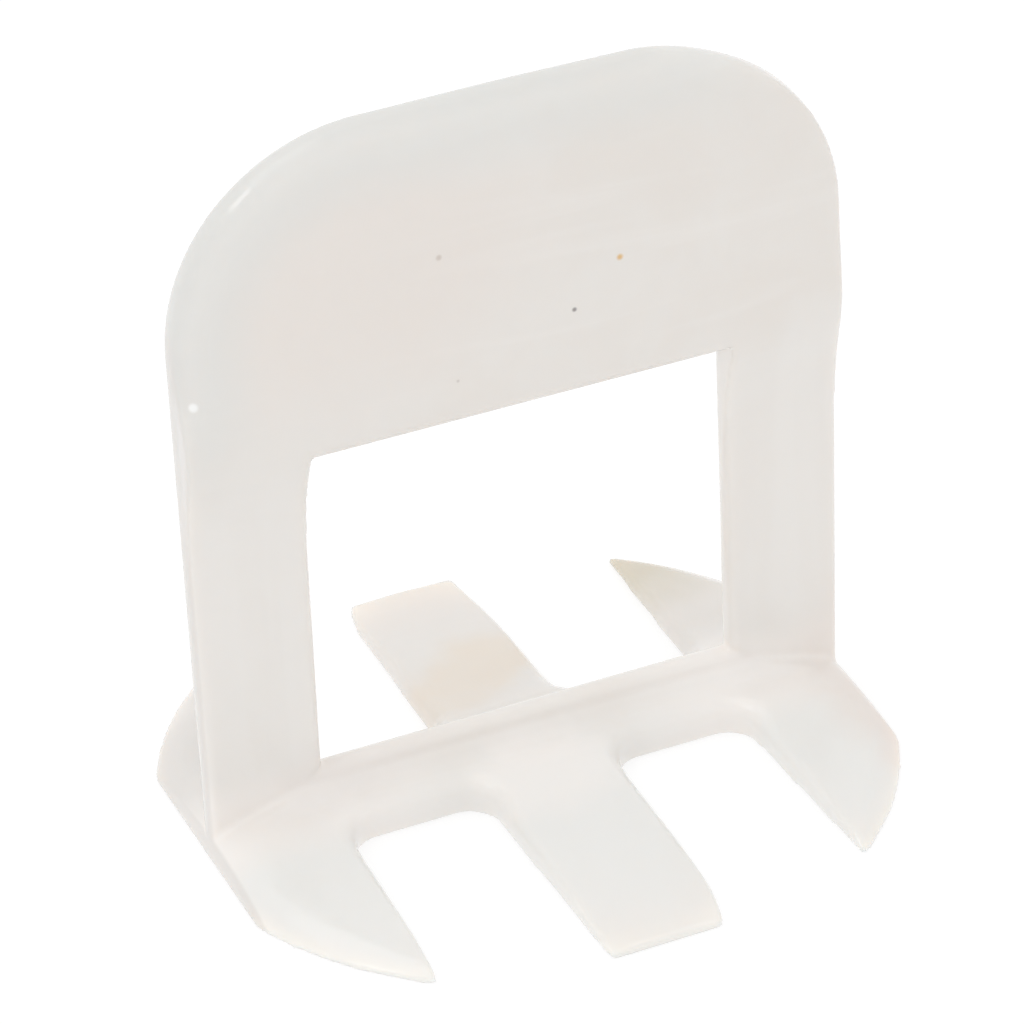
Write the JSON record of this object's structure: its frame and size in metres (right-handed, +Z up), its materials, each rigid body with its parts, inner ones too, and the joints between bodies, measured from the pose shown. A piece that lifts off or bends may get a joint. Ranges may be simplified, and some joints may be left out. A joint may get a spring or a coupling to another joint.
{
  "type": "tile levelling clip",
  "caption": "Moulded plastic clip that levels floor or wall tiles: a notched foot goes under the tiles and a wedge is driven through the window under its head.",
  "frame": {"origin": "middle of the foot's underside", "axes": "+Z up from the foot to the head, X along the line of the posts, -Y towards the side on which the head is thickened"},
  "size_m": [0.0348, 0.0338, 0.0384],
  "materials": {
    "natural_plastic": "uncoloured, slightly translucent, satin as moulded"
  },
  "bodies": {
    "root": {"clip": "natural_plastic"}
  },
  "joints": []
}
